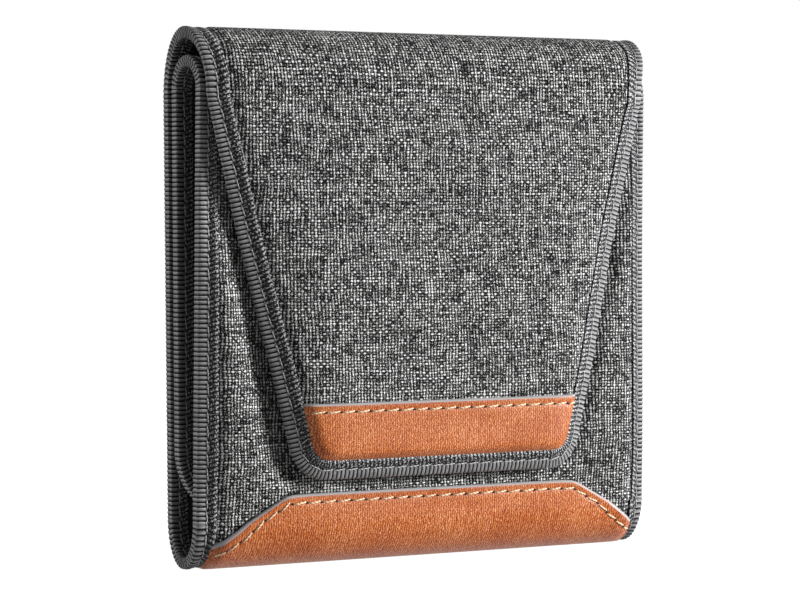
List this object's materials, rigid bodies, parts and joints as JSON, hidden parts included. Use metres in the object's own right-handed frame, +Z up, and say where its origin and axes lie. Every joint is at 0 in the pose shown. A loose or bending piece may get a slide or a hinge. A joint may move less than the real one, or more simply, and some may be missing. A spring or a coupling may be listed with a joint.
{
  "type": "lens filter case",
  "caption": "Roll-fold padded pocket case for camera lens filters: bound cloth panels with lining pockets, a tapered flap with a leather patch, leather base trim and a belt loop.",
  "frame": {"origin": "centre of the case's footprint, on the surface it stands on", "axes": "+X along the case's width, to the right when its flap is seen; -Y out of the front, where the flap lies; +Z up, from the bottom fold to the top fold"},
  "size_m": [0.132, 0.0309, 0.136],
  "materials": {
    "outer_cloth": "heathered charcoal plain weave, matte",
    "lining": "dark woven lining, matte",
    "foam": "thin closed-cell foam padding, matte",
    "binding": "ribbed grosgrain tape, matte",
    "leather": "cognac fine-grain leather, satin, painted cut edges",
    "hook_and_loop": "woven hook and loop tape, matte",
    "webbing": "flat woven webbing, matte",
    "elastic": "flat knitted elastic, matte"
  },
  "bodies": {
    "back_panel": {"back_binding_left": "binding", "back_binding_right": "binding", "back_foam": "foam", "back_lining": "lining", "back_outer_cloth": "outer_cloth", "back_pocket": "lining", "back_pocket_mouth_tape": "elastic", "belt_loop": "webbing", "bottom_trim_back": "leather"},
    "top_spine": {"top_fold_binding_left": "binding", "top_fold_binding_right": "binding", "top_fold_cloth": "outer_cloth", "top_fold_lining": "lining"},
    "flap": {"flap_binding": "binding", "flap_foam": "foam", "flap_hook_tape": "hook_and_loop", "flap_leather_patch": "leather", "flap_lining": "lining", "flap_outer_cloth": "outer_cloth"},
    "bottom_spine": {"bottom_fold_binding_left": "binding", "bottom_fold_binding_right": "binding", "bottom_fold_cloth": "outer_cloth", "bottom_fold_lining": "lining", "bottom_trim_fold": "leather"},
    "front_panel": {"bottom_trim_front": "leather", "front_binding_left": "binding", "front_binding_right": "binding", "front_foam": "foam", "front_lining": "lining", "front_loop_tape": "hook_and_loop", "front_outer_cloth": "outer_cloth", "front_pocket": "lining", "front_pocket_mouth_tape": "elastic"},
    "inner_spine": {"inner_fold_binding_left": "binding", "inner_fold_binding_right": "binding", "inner_fold_cloth": "outer_cloth", "inner_fold_lining": "lining"},
    "inner_panel": {"inner_binding": "binding", "inner_lining": "lining", "inner_outer_cloth": "outer_cloth", "inner_pocket": "lining", "inner_pocket_mouth_tape": "elastic"}
  },
  "joints": [
    {"name": "top_fold_hinge", "type": "hinge", "parent": "back_panel", "child": "top_spine", "pos_m": [0, 0.00724, 0.13169], "axis": [-1, 0, 0], "range_deg": [0, 90], "deforming": ["top_fold_binding_left", "top_fold_binding_right", "top_fold_cloth", "top_fold_lining"]},
    {"name": "flap_hinge", "type": "hinge", "parent": "top_spine", "child": "flap", "pos_m": [0, -0.00974, 0.13169], "axis": [-1, 0, 0], "range_deg": [0, 90], "deforming": ["flap_binding", "flap_foam", "flap_hook_tape", "flap_leather_patch", "flap_lining", "flap_outer_cloth"]},
    {"name": "bottom_fold_hinge", "type": "hinge", "parent": "back_panel", "child": "bottom_spine", "pos_m": [0, 0.00624, 0.00321], "axis": [1, 0, 0], "range_deg": [0, 90], "deforming": ["bottom_fold_binding_left", "bottom_fold_binding_right", "bottom_fold_cloth", "bottom_fold_lining", "bottom_trim_fold"]},
    {"name": "front_panel_hinge", "type": "hinge", "parent": "bottom_spine", "child": "front_panel", "pos_m": [0, -0.00514, 0.00321], "axis": [1, 0, 0], "range_deg": [0, 90]},
    {"name": "inner_fold_hinge", "type": "hinge", "parent": "front_panel", "child": "inner_spine", "pos_m": [0, -0.00775, 0.1258], "axis": [1, 0, 0], "range_deg": [0, 90], "deforming": ["inner_fold_binding_left", "inner_fold_binding_right", "inner_fold_cloth", "inner_fold_lining"]},
    {"name": "inner_panel_hinge", "type": "hinge", "parent": "inner_spine", "child": "inner_panel", "pos_m": [0, 0.00345, 0.1258], "axis": [1, 0, 0], "range_deg": [0, 90], "deforming": ["inner_binding", "inner_lining", "inner_outer_cloth", "inner_pocket", "inner_pocket_mouth_tape"]}
  ],
  "couplings": [
    {"joint": "flap_hinge", "follows": "top_fold_hinge", "ratio": 1},
    {"joint": "front_panel_hinge", "follows": "bottom_fold_hinge", "ratio": 1},
    {"joint": "inner_fold_hinge", "follows": "bottom_fold_hinge", "ratio": 1},
    {"joint": "inner_panel_hinge", "follows": "bottom_fold_hinge", "ratio": 1}
  ]
}
